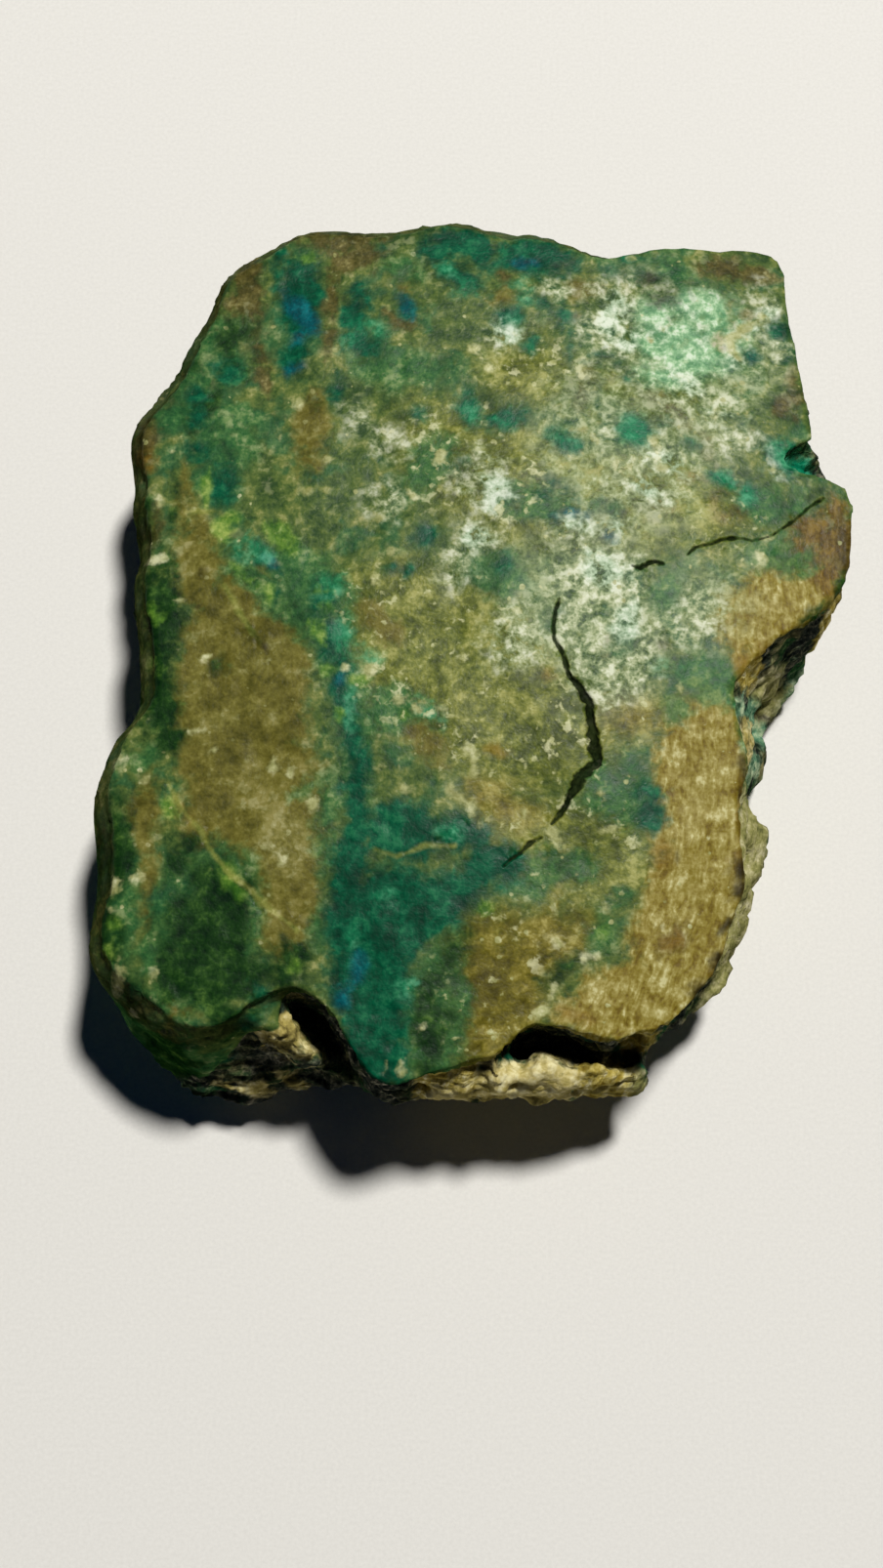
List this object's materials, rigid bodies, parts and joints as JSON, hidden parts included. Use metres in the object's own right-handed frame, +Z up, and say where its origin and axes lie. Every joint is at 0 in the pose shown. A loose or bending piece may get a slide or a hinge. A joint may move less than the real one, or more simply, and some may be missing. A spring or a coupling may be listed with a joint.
{
  "type": "malachite specimen",
  "caption": "Rough slab of green malachite and blue-green chrysocolla in tan rock, with a worn, gently domed face, broken sides, a crack and a small ledge.",
  "frame": {"origin": "middle of the bounding box on the ground, under the stone", "axes": "+Z up through the worn face, +Y along the stone from the thick end with the ledge to the thin end, +X across it towards the side with the notch"},
  "size_m": [0.0728, 0.0874, 0.0211],
  "materials": {
    "stone": "satin"
  },
  "bodies": {
    "root": {"stone": "stone"}
  },
  "joints": []
}
